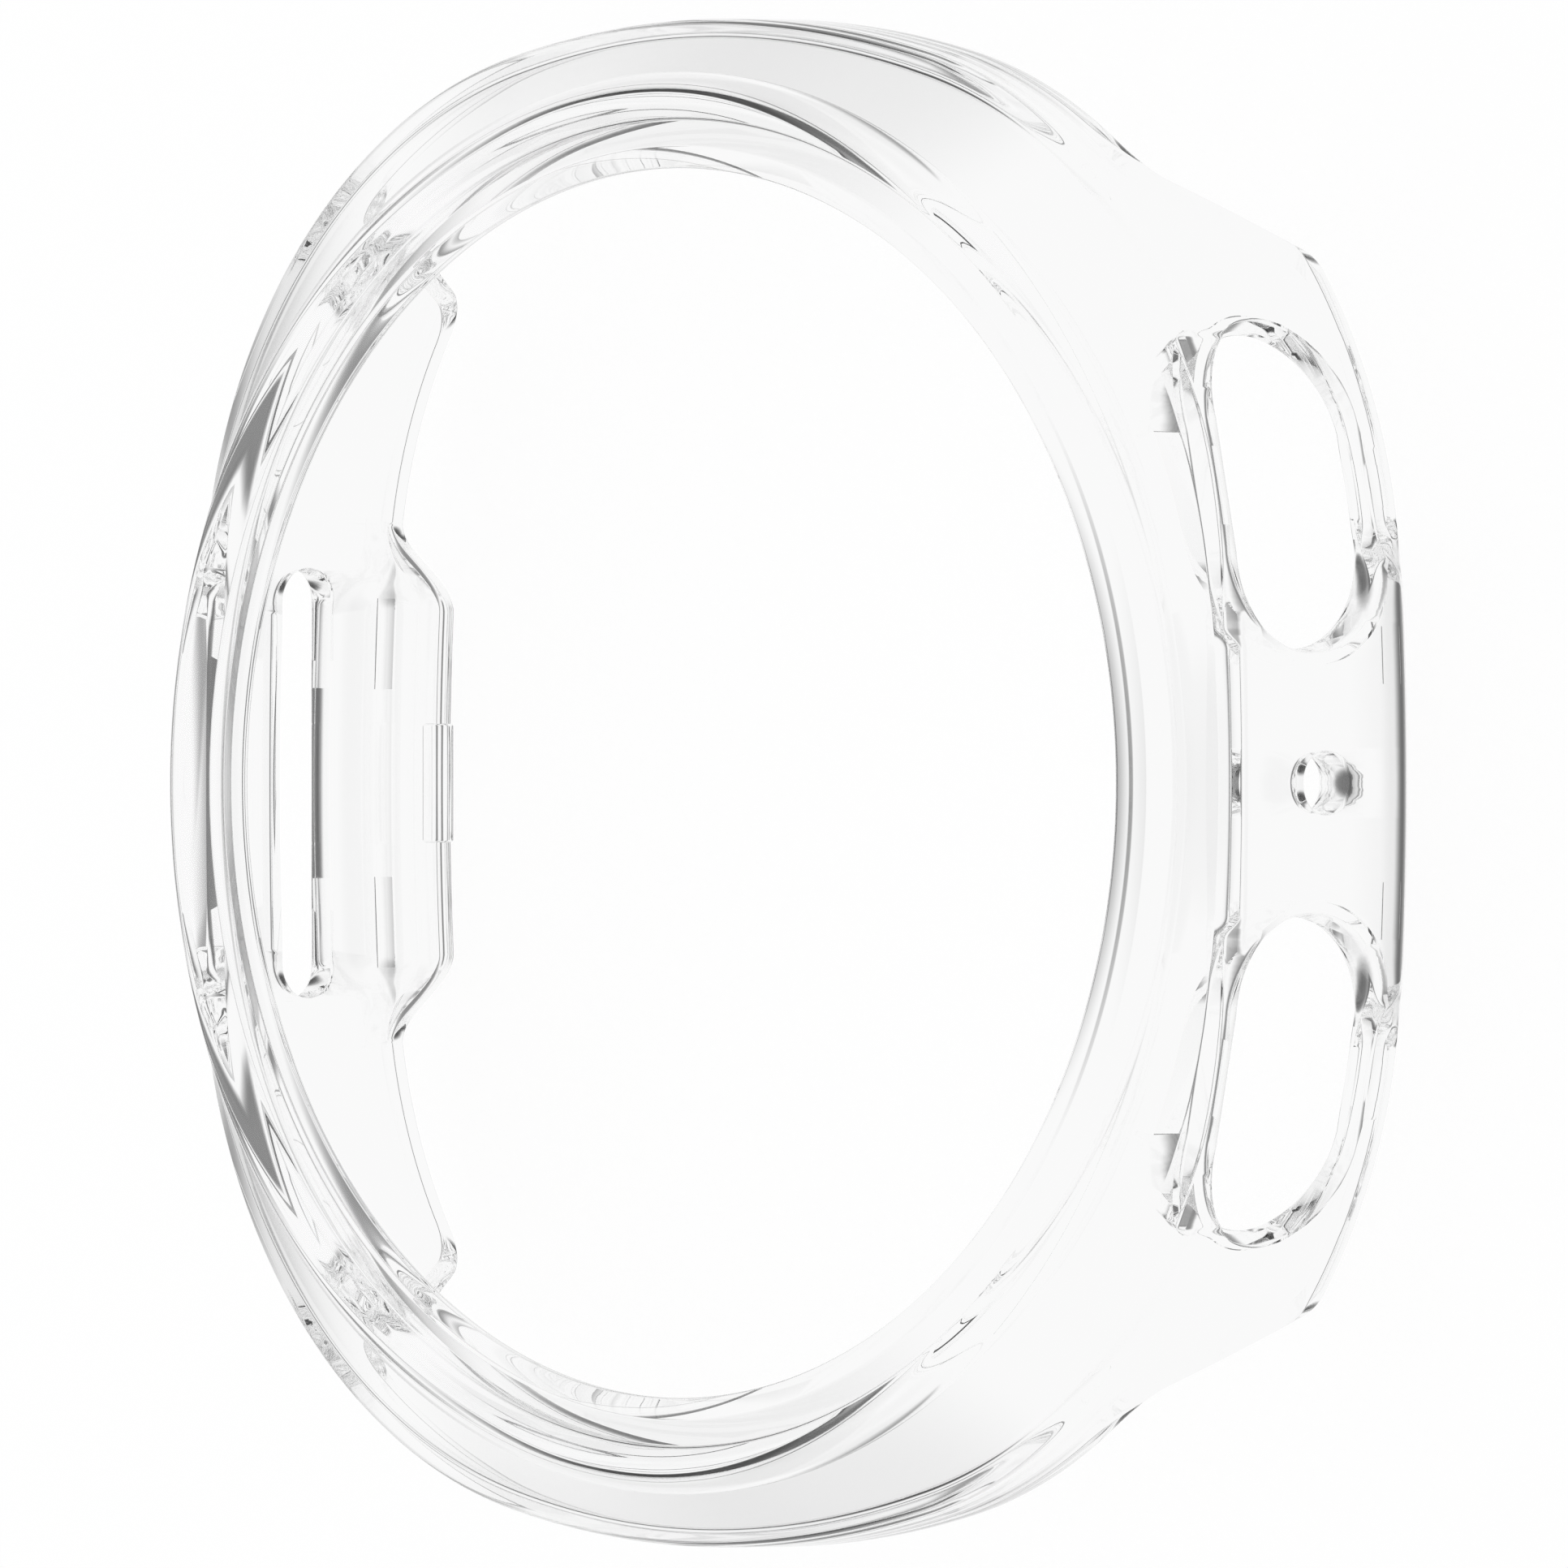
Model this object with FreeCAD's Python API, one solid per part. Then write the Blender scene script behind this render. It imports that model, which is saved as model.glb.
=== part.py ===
import FreeCAD, Part
import math
import os

from FreeCAD import Vector

# A hard clear bumper that snaps over a round-faced watch with a cushion-shaped body.
# The real thing is one moulding; each solid here is one region of it, met face to face.
# Millimetres. +Z is the way the display faces, +X is the button side, +Y is twelve o'clock.
# The catches stand on Z = 0. A depth is measured back from the edge of the display opening.

# Plan of the cushion body, seen from the front
case_width = 46.26
case_length = 48.38
end_radius = 39.4
side_radius = 95.0
corner_radius = 18.0

# Plastic
wall = 1.0
ring_wall = 1.2
edge_round = 0.2

# Front ring and the lip that laps the glass
ring_set_in = 0.63
ring_width = 3.05
crest_rise = 0.8
crest_round = 0.8
bevel_width = 0.7
bevel_rise = 0.1
lip_edge = 0.25
lip_drop = 0.4
lip_round = 0.1
seat_width = 0.9
ring_base_depth = 0.75

# Skirt between the ring and the walls
shoulder_depth = 1.6
shoulder_round = 0.45
strap_depth = 4.1
skirt_angle = 57.0

# Side walls, which reach round the watch to its back
ear_depth = 9.2
ear_set_in = 4.7
ear_slope_run = 2.9
ear_top_round = 1.5
ear_corner_round = 0.8

# Catches, which curl in behind the watch
catch_depth = 10.6
catch_split_depth = 8.5
catch_half_length = 5.6
catch_fade = 2.9
catch_reach = 2.43
catch_tip_thickness = 0.7
catch_outer_round = 2.2
catch_inner_round = 1.2
bead_rise = 0.15
bead_back_depth = 9.2
speaker_bead = (3.0, 5.9)
button_bead = (3.1, 4.9)
stop_half_length = 1.9
stop_rise = 0.15
stop_root = 0.4

# Raised guard round the buttons
guard_rise = 0.15
guard_set_in = 2.39
guard_front_depth = 1.0
guard_step_round = 0.12
guard_back_round = 0.25
panel_rise = 0.35
panel_half_length = 4.2

# Openings in the side walls
window_front_depth = 1.85
window_back_depth = 8.1
window_inner_y = 4.2
window_set_in = 2.19
microphone_radius = 1.05
microphone_depth = 5.25
speaker_front_depth = 4.23
speaker_back_depth = 6.42
speaker_half_length = 6.86
speaker_corner_round = 1.0

# How far a cut runs past what it cuts
overrun = 3.0

half_width = case_width / 2
half_length = case_length / 2
ring_radius = min(half_width, half_length) - ring_set_in
opening_radius = ring_radius - ring_width
head_radius = ring_radius - ring_wall
ear_start = half_length - ear_set_in
ear_end = ear_start - ear_slope_run
guard_half_length = ear_end - guard_set_in
window_outer_y = ear_end - window_set_in
inner_shoulder_depth = shoulder_depth + ring_base_depth
fade_end = catch_half_length + catch_fade
up = Vector(0, 0, 1)
# How far the middle of a rounded right angle lies in from its sides, in radii
diagonal_share = 1 - math.sqrt(2) / 2


def level(depth):
    """Height of a plane at a depth behind the edge of the display opening."""
    return catch_depth - depth


def unit(from_point, to_point):
    """Unit vector in a plane from one point to another."""
    length = math.hypot(to_point[0] - from_point[0], to_point[1] - from_point[1])
    return ((to_point[0] - from_point[0]) / length, (to_point[1] - from_point[1]) / length)


def wire_through(points):
    """Closed wire of straight lines and arcs; an arc is a pair: a point on it and its end."""
    edges = []
    here = points[0]
    for point in points[1:] + points[:1]:
        if isinstance(point, tuple):
            edges.append(Part.Arc(here, point[0], point[1]).toShape())
            here = point[1]
        else:
            edges.append(Part.LineSegment(here, point).toShape())
            here = point
    return Part.Wire(edges)


def box_between(x_range, y_range, depth_range):
    """Box between two places along each axis."""
    corner = Vector(x_range[0], y_range[0], level(depth_range[1]))
    sides = [pair[1] - pair[0] for pair in (x_range, y_range, depth_range)]
    return Part.makeBox(sides[0], sides[1], sides[2], corner)


def corner_centre():
    """Centre of the corner arc that meets the end arc and the side arc without a break."""
    end_y = half_length - end_radius
    side_x = half_width - side_radius
    from_end = end_radius - corner_radius
    from_side = side_radius - corner_radius
    gap = math.hypot(side_x, end_y)
    along = (from_end ** 2 - from_side ** 2 + gap ** 2) / (2 * gap)
    across = math.sqrt(from_end ** 2 - along ** 2)
    way = (side_x / gap, -end_y / gap)
    return (way[0] * along + way[1] * across, end_y + way[1] * along - way[0] * across)


def outline_arcs(inset):
    """The eight arcs of the plan, each as three plan points, anticlockwise from the button side."""
    centre = corner_centre()
    side_way = unit((half_width - side_radius, 0), centre)
    end_way = unit((0, half_length - end_radius), centre)
    mid_way = unit((0, 0), (side_way[0] + end_way[0], side_way[1] + end_way[1]))
    radius = corner_radius - inset
    ways = (side_way, mid_way, end_way)
    corner = [(centre[0] + radius * way[0], centre[1] + radius * way[1]) for way in ways]

    def mirrored(arc, x_sign, y_sign):
        turned = [(x * x_sign, y * y_sign) for x, y in arc]
        return turned if x_sign == y_sign else turned[::-1]

    right = [(corner[0][0], -corner[0][1]), (half_width - inset, 0), corner[0]]
    top = [corner[2], (0, half_length - inset), (-corner[2][0], corner[2][1])]
    return [
        right,
        corner,
        top,
        mirrored(corner, -1, 1),
        mirrored(right, -1, -1),
        mirrored(corner, -1, -1),
        mirrored(top, -1, -1),
        mirrored(corner, 1, -1),
    ]


def arc_wire(arcs, depth):
    """Closed wire of arcs in the plane at a depth."""
    height = level(depth)
    return Part.Wire([Part.Arc(*[Vector(x, y, height) for x, y in arc]).toShape() for arc in arcs])


def round_wire(radius, depth):
    """A circle cut into eight arcs that stand opposite those of the cushion plan."""
    arcs = []
    for arc in outline_arcs(0):
        first = math.atan2(arc[0][1], arc[0][0])
        last = math.atan2(arc[2][1], arc[2][0])
        if last < first:
            last += 2 * math.pi
        angles = (first, (first + last) / 2, last)
        arcs.append([(radius * math.cos(angle), radius * math.sin(angle)) for angle in angles])
    return arc_wire(arcs, depth)


def plan_prism(inset, front_depth, back_depth):
    """Solid with the cushion plan between two depths."""
    face = Part.Face(arc_wire(outline_arcs(inset), back_depth))
    return face.extrude(up * (back_depth - front_depth))


def outer_form():
    """Outside of the case behind the ring: a sloping skirt, a rounded shoulder and upright walls."""
    slope = Part.makeLoft([round_wire(ring_radius, 0), arc_wire(outline_arcs(0), shoulder_depth)], True, True)
    body = slope.fuse(plan_prism(0, shoulder_depth, catch_depth)).removeSplitter()
    flat = [edge for edge in body.Edges if edge.BoundBox.ZLength < edge_round]
    shoulder = [edge for edge in flat if abs(edge.CenterOfMass.z - level(shoulder_depth)) < edge_round]
    return body.makeFillet(shoulder_round, shoulder).Solids[0]


def watch_pocket():
    """Room for the watch: its round head, its sloping shoulder and its upright sides."""
    head = Part.makeCylinder(head_radius, ring_base_depth + overrun, Vector(0, 0, level(ring_base_depth)))
    inner_ring = round_wire(head_radius, ring_base_depth)
    slope = Part.makeLoft([inner_ring, arc_wire(outline_arcs(wall), inner_shoulder_depth)], True, True)
    body = plan_prism(wall, inner_shoulder_depth, catch_depth + overrun)
    return slope.fuse(body).removeSplitter().fuse(head)


def ring_section():
    """Revolved front ring: knife-like lip, dished face, rounded crest and the seat for the glass."""

    def at(radius, depth):
        return Vector(radius, 0, level(depth))

    crest_x = ring_radius - crest_round
    crest_depth = crest_round - crest_rise
    bevel_x = opening_radius + bevel_width
    bevel_depth = -lip_edge / 2 - bevel_rise
    reach = math.hypot(crest_x - bevel_x, crest_depth - bevel_depth)
    bearing = math.atan2(crest_depth - bevel_depth, crest_x - bevel_x)
    slope = math.asin(crest_round / reach) - bearing
    middle = (math.pi / 2 + slope) / 2
    touch = at(crest_x - crest_round * math.sin(slope), crest_depth - crest_round * math.cos(slope))
    crest = at(crest_x + crest_round * math.cos(middle), crest_depth - crest_round * math.sin(middle))
    bend = lip_round * diagonal_share
    points = [
        at(opening_radius, lip_edge / 2),
        at(opening_radius, -lip_edge / 2),
        at(bevel_x, bevel_depth),
        touch,
        (crest, at(ring_radius, crest_depth)),
        at(ring_radius, ring_base_depth),
        at(head_radius, ring_base_depth),
        at(head_radius, lip_drop + lip_round),
        (at(head_radius - bend, lip_drop + bend), at(head_radius - lip_round, lip_drop)),
        at(head_radius - lip_round - seat_width, lip_drop),
    ]
    return Part.Face(wire_through(points)).revolve(Vector(0, 0, 0), up, 360)


def fade_arcs(low, high):
    """An S of two arcs from the end of a catch's full length to where its fade ends."""
    drop = high - low
    radius = ((catch_fade / 2) ** 2 + (drop / 2) ** 2) / abs(drop)
    half_turn = math.asin(catch_fade / 2 / radius) / 2
    rise = math.copysign(radius * (1 - math.cos(half_turn)), drop)
    run = radius * math.sin(half_turn)
    middle = (catch_half_length + catch_fade / 2, (low + high) / 2)
    near = ((catch_half_length + run, low + rise), middle)
    return [near, ((fade_end - run, high - rise), (fade_end, high))]


def side_profile():
    """What is kept of the case seen from the side: shallow at the straps, deep at the side walls."""
    rise = ear_depth - strap_depth
    run = ear_start - ear_end
    tilt = math.atan2(run, rise)
    way = unit((ear_start, strap_depth), (ear_end, ear_depth))
    half_turn = (math.pi / 2 - tilt) / 2
    top_trim = ear_top_round * math.tan(half_turn)
    low_trim = ear_corner_round * math.tan(half_turn)
    top_start = (ear_start + top_trim, strap_depth)
    top_stop = (ear_start + way[0] * top_trim, strap_depth + way[1] * top_trim)
    low_start = (ear_end - way[0] * low_trim, ear_depth - way[1] * low_trim)
    low_stop = (ear_end - low_trim, ear_depth)

    def bulge(start, stop, centre, radius):
        middle = ((start[0] + stop[0]) / 2, (start[1] + stop[1]) / 2)
        out = unit(centre, middle)
        return (centre[0] + radius * out[0], centre[1] + radius * out[1])

    top_middle = bulge(top_start, top_stop, (top_start[0], strap_depth + ear_top_round), ear_top_round)
    low_middle = bulge(low_start, low_stop, (low_stop[0], ear_depth - ear_corner_round), ear_corner_round)
    fade = fade_arcs(catch_depth, ear_depth)
    quarter = [
        (catch_half_length, catch_depth),
        fade[0],
        fade[1],
        low_stop,
        (low_middle, low_start),
        top_stop,
        (top_middle, top_start),
        (half_length + overrun, strap_depth),
        (half_length + overrun, -overrun),
    ]

    def at(point, sign):
        return Vector(-case_width, point[0] * sign, level(point[1]))

    points = []
    for entry in quarter:
        if isinstance(entry[0], tuple):
            points.append((at(entry[0], 1), at(entry[1], 1)))
        else:
            points.append(at(entry, 1))
    ends = [entry[1] if isinstance(entry[0], tuple) else entry for entry in quarter]
    for index in range(len(quarter) - 1, 0, -1):
        if index == len(quarter) - 1:
            points.append(at(ends[index], -1))
        if isinstance(quarter[index][0], tuple):
            points.append((at(quarter[index][0], -1), at(ends[index - 1], -1)))
        else:
            points.append(at(ends[index - 1], -1))
    return Part.Face(wire_through(points)).extrude(Vector(2 * case_width, 0, 0))


def side_reach(y):
    """Half width of the case at a place along its side arc."""
    return half_width - side_radius + math.sqrt(side_radius ** 2 - y ** 2)


def curl_wire(reach, depth, radius, y):
    """Section of what a rounded back edge leaves outside it."""

    def at(x, d):
        return Vector(x, y, level(d))

    bend = radius * diagonal_share
    back = catch_depth + overrun
    far = reach + overrun
    return wire_through([
        at(reach, depth - radius),
        (at(reach - bend, depth - bend), at(reach - radius, depth)),
        at(reach - radius, back),
        at(far, back),
        at(far, depth - radius),
    ])


def back_edge_cut(proud, middle_proud, ear_round):
    """Rounds the back edge of the button side: wide behind the catch, tight along the ears."""
    along = Vector(0, 1, 0)
    centre = corner_centre()
    side_centre = Vector(half_width - side_radius, 0, 0)
    middle_reach = half_width + middle_proud
    pieces = []
    start = curl_wire(middle_reach, catch_depth, catch_outer_round, -catch_half_length)
    pieces.append(Part.Face(start).extrude(along * (2 * catch_half_length)))
    fade_turn = math.degrees(math.asin(fade_end / side_radius))
    joint_turn = math.degrees(math.atan2(centre[1], centre[0] - side_centre.x))
    corner_turn = math.degrees(math.atan2(centre[1] - half_length + end_radius, centre[0])) - joint_turn
    for sign in (1, -1):
        near = curl_wire(middle_reach, catch_depth, catch_outer_round, sign * catch_half_length)
        small = curl_wire(half_width + proud, ear_depth, ear_round, 0)
        small.rotate(side_centre, up, sign * fade_turn)
        pieces.append(Part.makeLoft([near, small], True, True))
        pieces.append(Part.Face(small).revolve(side_centre, up, sign * (joint_turn - fade_turn)))
        joint = curl_wire(half_width + proud, ear_depth, ear_round, 0)
        joint.rotate(side_centre, up, sign * joint_turn)
        corner = Vector(centre[0], sign * centre[1], 0)
        pieces.append(Part.Face(joint).revolve(corner, up, sign * corner_turn))
    return pieces


def catch_return():
    """Plate and inner curl of the button-side catch, straight along the watch, before trimming."""

    def at(x, d):
        return Vector(x, -fade_end, level(d))

    inner = half_width - wall
    floor = catch_depth - catch_tip_thickness
    bend = catch_inner_round * diagonal_share
    tip = half_width - catch_reach
    far = half_width + overrun
    back = catch_depth + overrun
    section = wire_through([
        at(tip, floor),
        at(inner - catch_inner_round, floor),
        (at(inner - bend, floor - bend), at(inner, floor - catch_inner_round)),
        at(far, floor - catch_inner_round),
        at(far, back),
        at(tip, back),
    ])
    plate = Part.Face(section).extrude(Vector(0, 2 * fade_end, 0))
    fade = fade_arcs(tip, side_reach(fade_end) - wall)

    def flat(x, y):
        return Vector(x, y, level(back))

    room = wire_through([
        flat(0, -fade_end),
        flat(fade[1][1][1], -fade_end),
        (flat(fade[1][0][1], -fade[1][0][0]), flat(fade[0][1][1], -fade[0][1][0])),
        (flat(fade[0][0][1], -fade[0][0][0]), flat(tip, -catch_half_length)),
        flat(tip, catch_half_length),
        (flat(fade[0][0][1], fade[0][0][0]), flat(fade[0][1][1], fade[0][1][0])),
        (flat(fade[1][0][1], fade[1][0][0]), flat(fade[1][1][1], fade_end)),
        flat(0, fade_end),
    ])
    return plate.cut(Part.Face(room).extrude(up * back))


def snap_beads(span):
    """Two low beads inside a button-side catch that click past the edge of the watch."""
    depths = (catch_split_depth, bead_back_depth)
    band = plan_prism(wall / 2, *depths).cut(plan_prism(wall + bead_rise, *depths))
    beads = []
    for y_range in (span, (-span[1], -span[0])):
        beads.append(band.common(box_between((half_width / 2, half_width), y_range, depths)))
    return beads


def tip_stop():
    """Small block in the middle of the speaker-side catch's tip, which the watch rests on."""
    tip = catch_reach - half_width
    return box_between(
        (tip - stop_root, tip + stop_rise),
        (-stop_half_length, stop_half_length),
        (catch_depth - catch_tip_thickness - stop_rise, catch_depth),
    )


def rounded_slot(x_range, y_range, depth_range, radius):
    """Cutter along X with a rounded rectangular section."""
    box = box_between(x_range, y_range, depth_range)
    edges = [edge for edge in box.Edges if edge.BoundBox.XLength > edge.BoundBox.DiagonalLength / 2]
    edges = [edge for edge in edges if edge.BoundBox.YLength + edge.BoundBox.ZLength < edge_round]
    return box.makeFillet(radius, edges)


def side_cuts():
    """The openings through the side walls: two button windows, a microphone hole, a speaker slot."""
    outward = (half_width / 2, half_width + overrun)
    windows = []
    for span in ((window_inner_y, window_outer_y), (-window_outer_y, -window_inner_y)):
        depths = (window_front_depth, window_back_depth)
        flat_share = 0.001
        height = window_back_depth - window_front_depth
        radius = min(height, window_outer_y - window_inner_y) / 2 * (1 - flat_share)
        windows.append(rounded_slot(outward, span, depths, radius))
    microphone = Part.makeCylinder(
        microphone_radius, half_width, Vector(half_width / 2, 0, level(microphone_depth)), Vector(1, 0, 0)
    )
    speaker = rounded_slot(
        (-half_width - overrun, -half_width / 2),
        (-speaker_half_length, speaker_half_length),
        (speaker_front_depth, speaker_back_depth),
        speaker_corner_round,
    )
    return windows + [microphone, speaker]


def guard_form():
    """Raised block round the buttons, before the case is taken out of it."""
    span = (-guard_half_length, guard_half_length)
    block = plan_prism(-guard_rise, guard_front_depth, catch_depth)
    block = block.common(box_between((half_width / 2, half_width + overrun), span, (0, catch_depth)))
    ends = [
        edge for edge in block.Edges
        if edge.BoundBox.ZLength > ear_depth / 2
        and edge.BoundBox.XLength < edge_round
        and edge.BoundBox.XMin > half_width / 2 + edge_round
    ]
    block = block.makeFillet(guard_step_round, ends)
    panel = box_between(
        (half_width / 2, half_width + panel_rise),
        (-panel_half_length, panel_half_length),
        (guard_front_depth, catch_depth),
    )
    return block.fuse(panel).removeSplitter()


def strap_wedge(sign):
    """Region of the case over one strap, between two planes through the axis."""
    far = case_length
    x = far / math.tan(math.radians(skirt_angle))
    height = level(catch_depth + overrun)
    points = [Vector(0, 0, height), Vector(x, sign * far, height), Vector(-x, sign * far, height)]
    return Part.Face(wire_through(points)).extrude(up * (catch_depth + overrun - ring_base_depth))


def trimmed(shape, cuts, profile):
    """A form with the side profile applied and the openings cut through it."""
    shape = shape.common(profile)
    for cut in cuts:
        shape = shape.cut(cut)
    return shape


def half_turned(shape):
    """The same shape on the other side of the watch."""
    turned = shape.copy()
    turned.rotate(Vector(0, 0, 0), up, 180)
    return turned


def build():
    """Every region of the moulding by name."""
    outer = outer_form()
    profile = side_profile()
    returns = [catch_return(), half_turned(catch_return())]
    pocket = watch_pocket()
    for plate in returns:
        pocket = pocket.cut(plate)
    right_edge = back_edge_cut(guard_rise, panel_rise, guard_back_round)
    left_edge = [half_turned(piece) for piece in back_edge_cut(0, 0, edge_round)]
    cuts = [pocket] + side_cuts() + right_edge + left_edge
    case = trimmed(outer, cuts, profile)
    guard = trimmed(guard_form().cut(outer), cuts, profile)

    wide = case_length
    front = box_between((-wide, wide), (-wide, wide), (-overrun, ring_base_depth))
    catch_span = (-fade_end, fade_end)
    behind = (catch_split_depth, catch_depth + overrun)
    button_zone = box_between((0, wide), catch_span, behind)
    speaker_zone = box_between((-wide, 0), catch_span, behind)
    upper = strap_wedge(1)
    lower = strap_wedge(-1)
    sides = case.cut(front).cut(upper).cut(lower).cut(button_zone).cut(speaker_zone)
    button_half = box_between((0, wide), (-wide, wide), (-overrun, catch_depth + overrun))
    speaker_catch = case.common(speaker_zone).fuse([half_turned(bead) for bead in snap_beads(speaker_bead)])
    button_catch = case.common(button_zone).fuse([guard.common(button_zone)] + snap_beads(button_bead))
    return {
        "bezel_ring": case.common(front).fuse(ring_section()).removeSplitter(),
        "upper_skirt": case.common(upper),
        "lower_skirt": case.common(lower),
        "speaker_side_wall": sides.cut(button_half),
        "button_side_wall": sides.common(button_half),
        "button_guard": guard.cut(button_zone),
        "speaker_side_catch": speaker_catch.fuse(tip_stop()).removeSplitter(),
        "button_side_catch": button_catch.removeSplitter(),
    }


os.makedirs("parts", exist_ok=True)
for name, shape in build().items():
    shape.exportStep("parts/" + name + ".step")
    print(name, "solids", len(shape.Solids), "valid", shape.isValid(), "volume", round(shape.Volume, 2))
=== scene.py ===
import math

import bmesh
import bpy
import numpy as np
from mathutils import Matrix, Vector


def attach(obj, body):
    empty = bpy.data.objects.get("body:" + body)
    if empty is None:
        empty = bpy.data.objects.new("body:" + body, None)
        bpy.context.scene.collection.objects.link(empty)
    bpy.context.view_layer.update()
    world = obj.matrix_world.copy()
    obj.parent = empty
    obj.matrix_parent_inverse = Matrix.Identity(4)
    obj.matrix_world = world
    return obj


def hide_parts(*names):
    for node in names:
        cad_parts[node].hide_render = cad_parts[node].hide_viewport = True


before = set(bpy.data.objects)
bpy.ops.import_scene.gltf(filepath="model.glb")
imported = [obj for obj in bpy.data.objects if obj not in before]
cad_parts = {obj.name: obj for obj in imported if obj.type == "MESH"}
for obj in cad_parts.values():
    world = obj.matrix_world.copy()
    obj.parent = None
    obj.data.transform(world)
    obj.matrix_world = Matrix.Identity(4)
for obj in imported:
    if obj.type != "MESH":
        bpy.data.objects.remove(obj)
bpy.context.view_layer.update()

# The bumper: one clear polycarbonate moulding, pressed over the watch from the front.
# Its wall is short over the straps and deep at the two sides, and it is drawn as one section
# that changes as it runs round the watch. Sizes in millimetres, depths back from the opening's edge.
MM = 0.001
BACK_LEVEL = 10.6
PLAN_HALF = (23.13, 24.19)
END_RADIUS = 39.4
SIDE_RADIUS = 95.0
CORNER_RADIUS = 18.0
WALL = 1.0


def corner_centre():
    """Centre of the corner arc that runs on from the side arc and the end arc."""
    end_y = PLAN_HALF[1] - END_RADIUS
    side_x = PLAN_HALF[0] - SIDE_RADIUS
    from_end = END_RADIUS - CORNER_RADIUS
    from_side = SIDE_RADIUS - CORNER_RADIUS
    gap = math.hypot(side_x, end_y)
    along = (from_end ** 2 - from_side ** 2 + gap ** 2) / (2 * gap)
    across = math.sqrt(from_end ** 2 - along ** 2)
    way = (side_x / gap, -end_y / gap)
    return way[0] * along + way[1] * across, end_y + way[1] * along - way[0] * across


CORNER = corner_centre()
SIDE_CENTRE = (PLAN_HALF[0] - SIDE_RADIUS, 0.0)
END_CENTRE = (0.0, PLAN_HALF[1] - END_RADIUS)
SIDE_TURN = math.atan2(CORNER[1] - SIDE_CENTRE[1], CORNER[0] - SIDE_CENTRE[0])
END_TURN = math.atan2(CORNER[1] - END_CENTRE[1], CORNER[0] - END_CENTRE[0])


def quarter_point(turn):
    """Plan point and its normal in the first quarter, by the turn of the normal."""
    normal = (math.cos(turn), math.sin(turn))
    if turn <= SIDE_TURN:
        centre, radius = SIDE_CENTRE, SIDE_RADIUS
    elif turn <= END_TURN:
        centre, radius = CORNER, CORNER_RADIUS
    else:
        centre, radius = END_CENTRE, END_RADIUS
    return (centre[0] + radius * normal[0], centre[1] + radius * normal[1]), normal


def circle_angle(turn):
    """Place on the round ring that stands opposite a place on the cushion plan."""
    ends = [0.0, SIDE_TURN, END_TURN, math.pi / 2]
    marks = [math.atan2(p[1], p[0]) for p, n in (quarter_point(end) for end in ends)]
    return float(np.interp(turn, ends, marks))


def turn_at(y):
    """Turn of the normal where the plan's first quarter passes a given y."""
    joint = SIDE_RADIUS * math.sin(SIDE_TURN)
    if y <= joint:
        return math.asin(y / SIDE_RADIUS)
    return math.asin((y - CORNER[1]) / CORNER_RADIUS)


# The ring in front: a rounded crest, a dished face down to the opening and a lip over the watch's glass.
# It is moulded with the walls, and its round form runs over into their cushion-shaped plan.
OPENING_RADIUS = 19.45
FACE_BREAK = (20.15, -0.225)
CREST_CENTRE = (21.7, 0.0)
CREST_ROUND = 0.8
CREST_STEPS = 18
RING_RADIUS = 22.5
LIP_HALF_EDGE = 0.125
LIP_UNDERSIDE = 0.4
LIP_SEAT_RADIUS = 20.25
HEAD_RADIUS = 21.3
HEAD_DEPTH = 0.75
SHOULDER_DEPTH = 1.6
SHOULDER_ROUND = 0.8
INNER_SHOULDER_DEPTH = 2.35
INNER_SHOULDER_ROUND = 0.5


def rounded(before, corner, after, radius, steps):
    """Points of the arc that rounds a corner of the section."""
    before, corner, after = (np.array(p, float) for p in (before, corner, after))
    a = before - corner
    b = after - corner
    la, lb = np.linalg.norm(a), np.linalg.norm(b)
    if radius <= 0 or la < 1e-9 or lb < 1e-9:
        return [corner] * (steps + 1)
    a, b = a / la, b / lb
    angle = math.acos(max(-1.0, min(1.0, float(a @ b))))
    nearly_straight = angle > math.pi - 0.02
    if nearly_straight:
        span = min(radius * 0.3, 0.45 * la, 0.45 * lb)
        places = [2 * k / steps - 1 for k in range(steps + 1)]
        return [corner - a * span * place if place <= 0 else corner + b * span * place for place in places]
    trim = min(radius / math.tan(angle / 2), 0.48 * la, 0.48 * lb)
    radius = trim * math.tan(angle / 2)
    middle = (a + b) / np.linalg.norm(a + b)
    centre = corner + middle * (radius / math.sin(angle / 2))
    first = (corner + a * trim - centre) / radius
    last = (corner + b * trim - centre) / radius
    sweep = math.acos(max(-1.0, min(1.0, float(first @ last))))
    points = []
    for k in range(steps + 1):
        share = k / steps
        point = (first * math.sin((1 - share) * sweep) + last * math.sin(share * sweep)) / math.sin(sweep)
        points.append(centre + point * radius)
    return points


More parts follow.
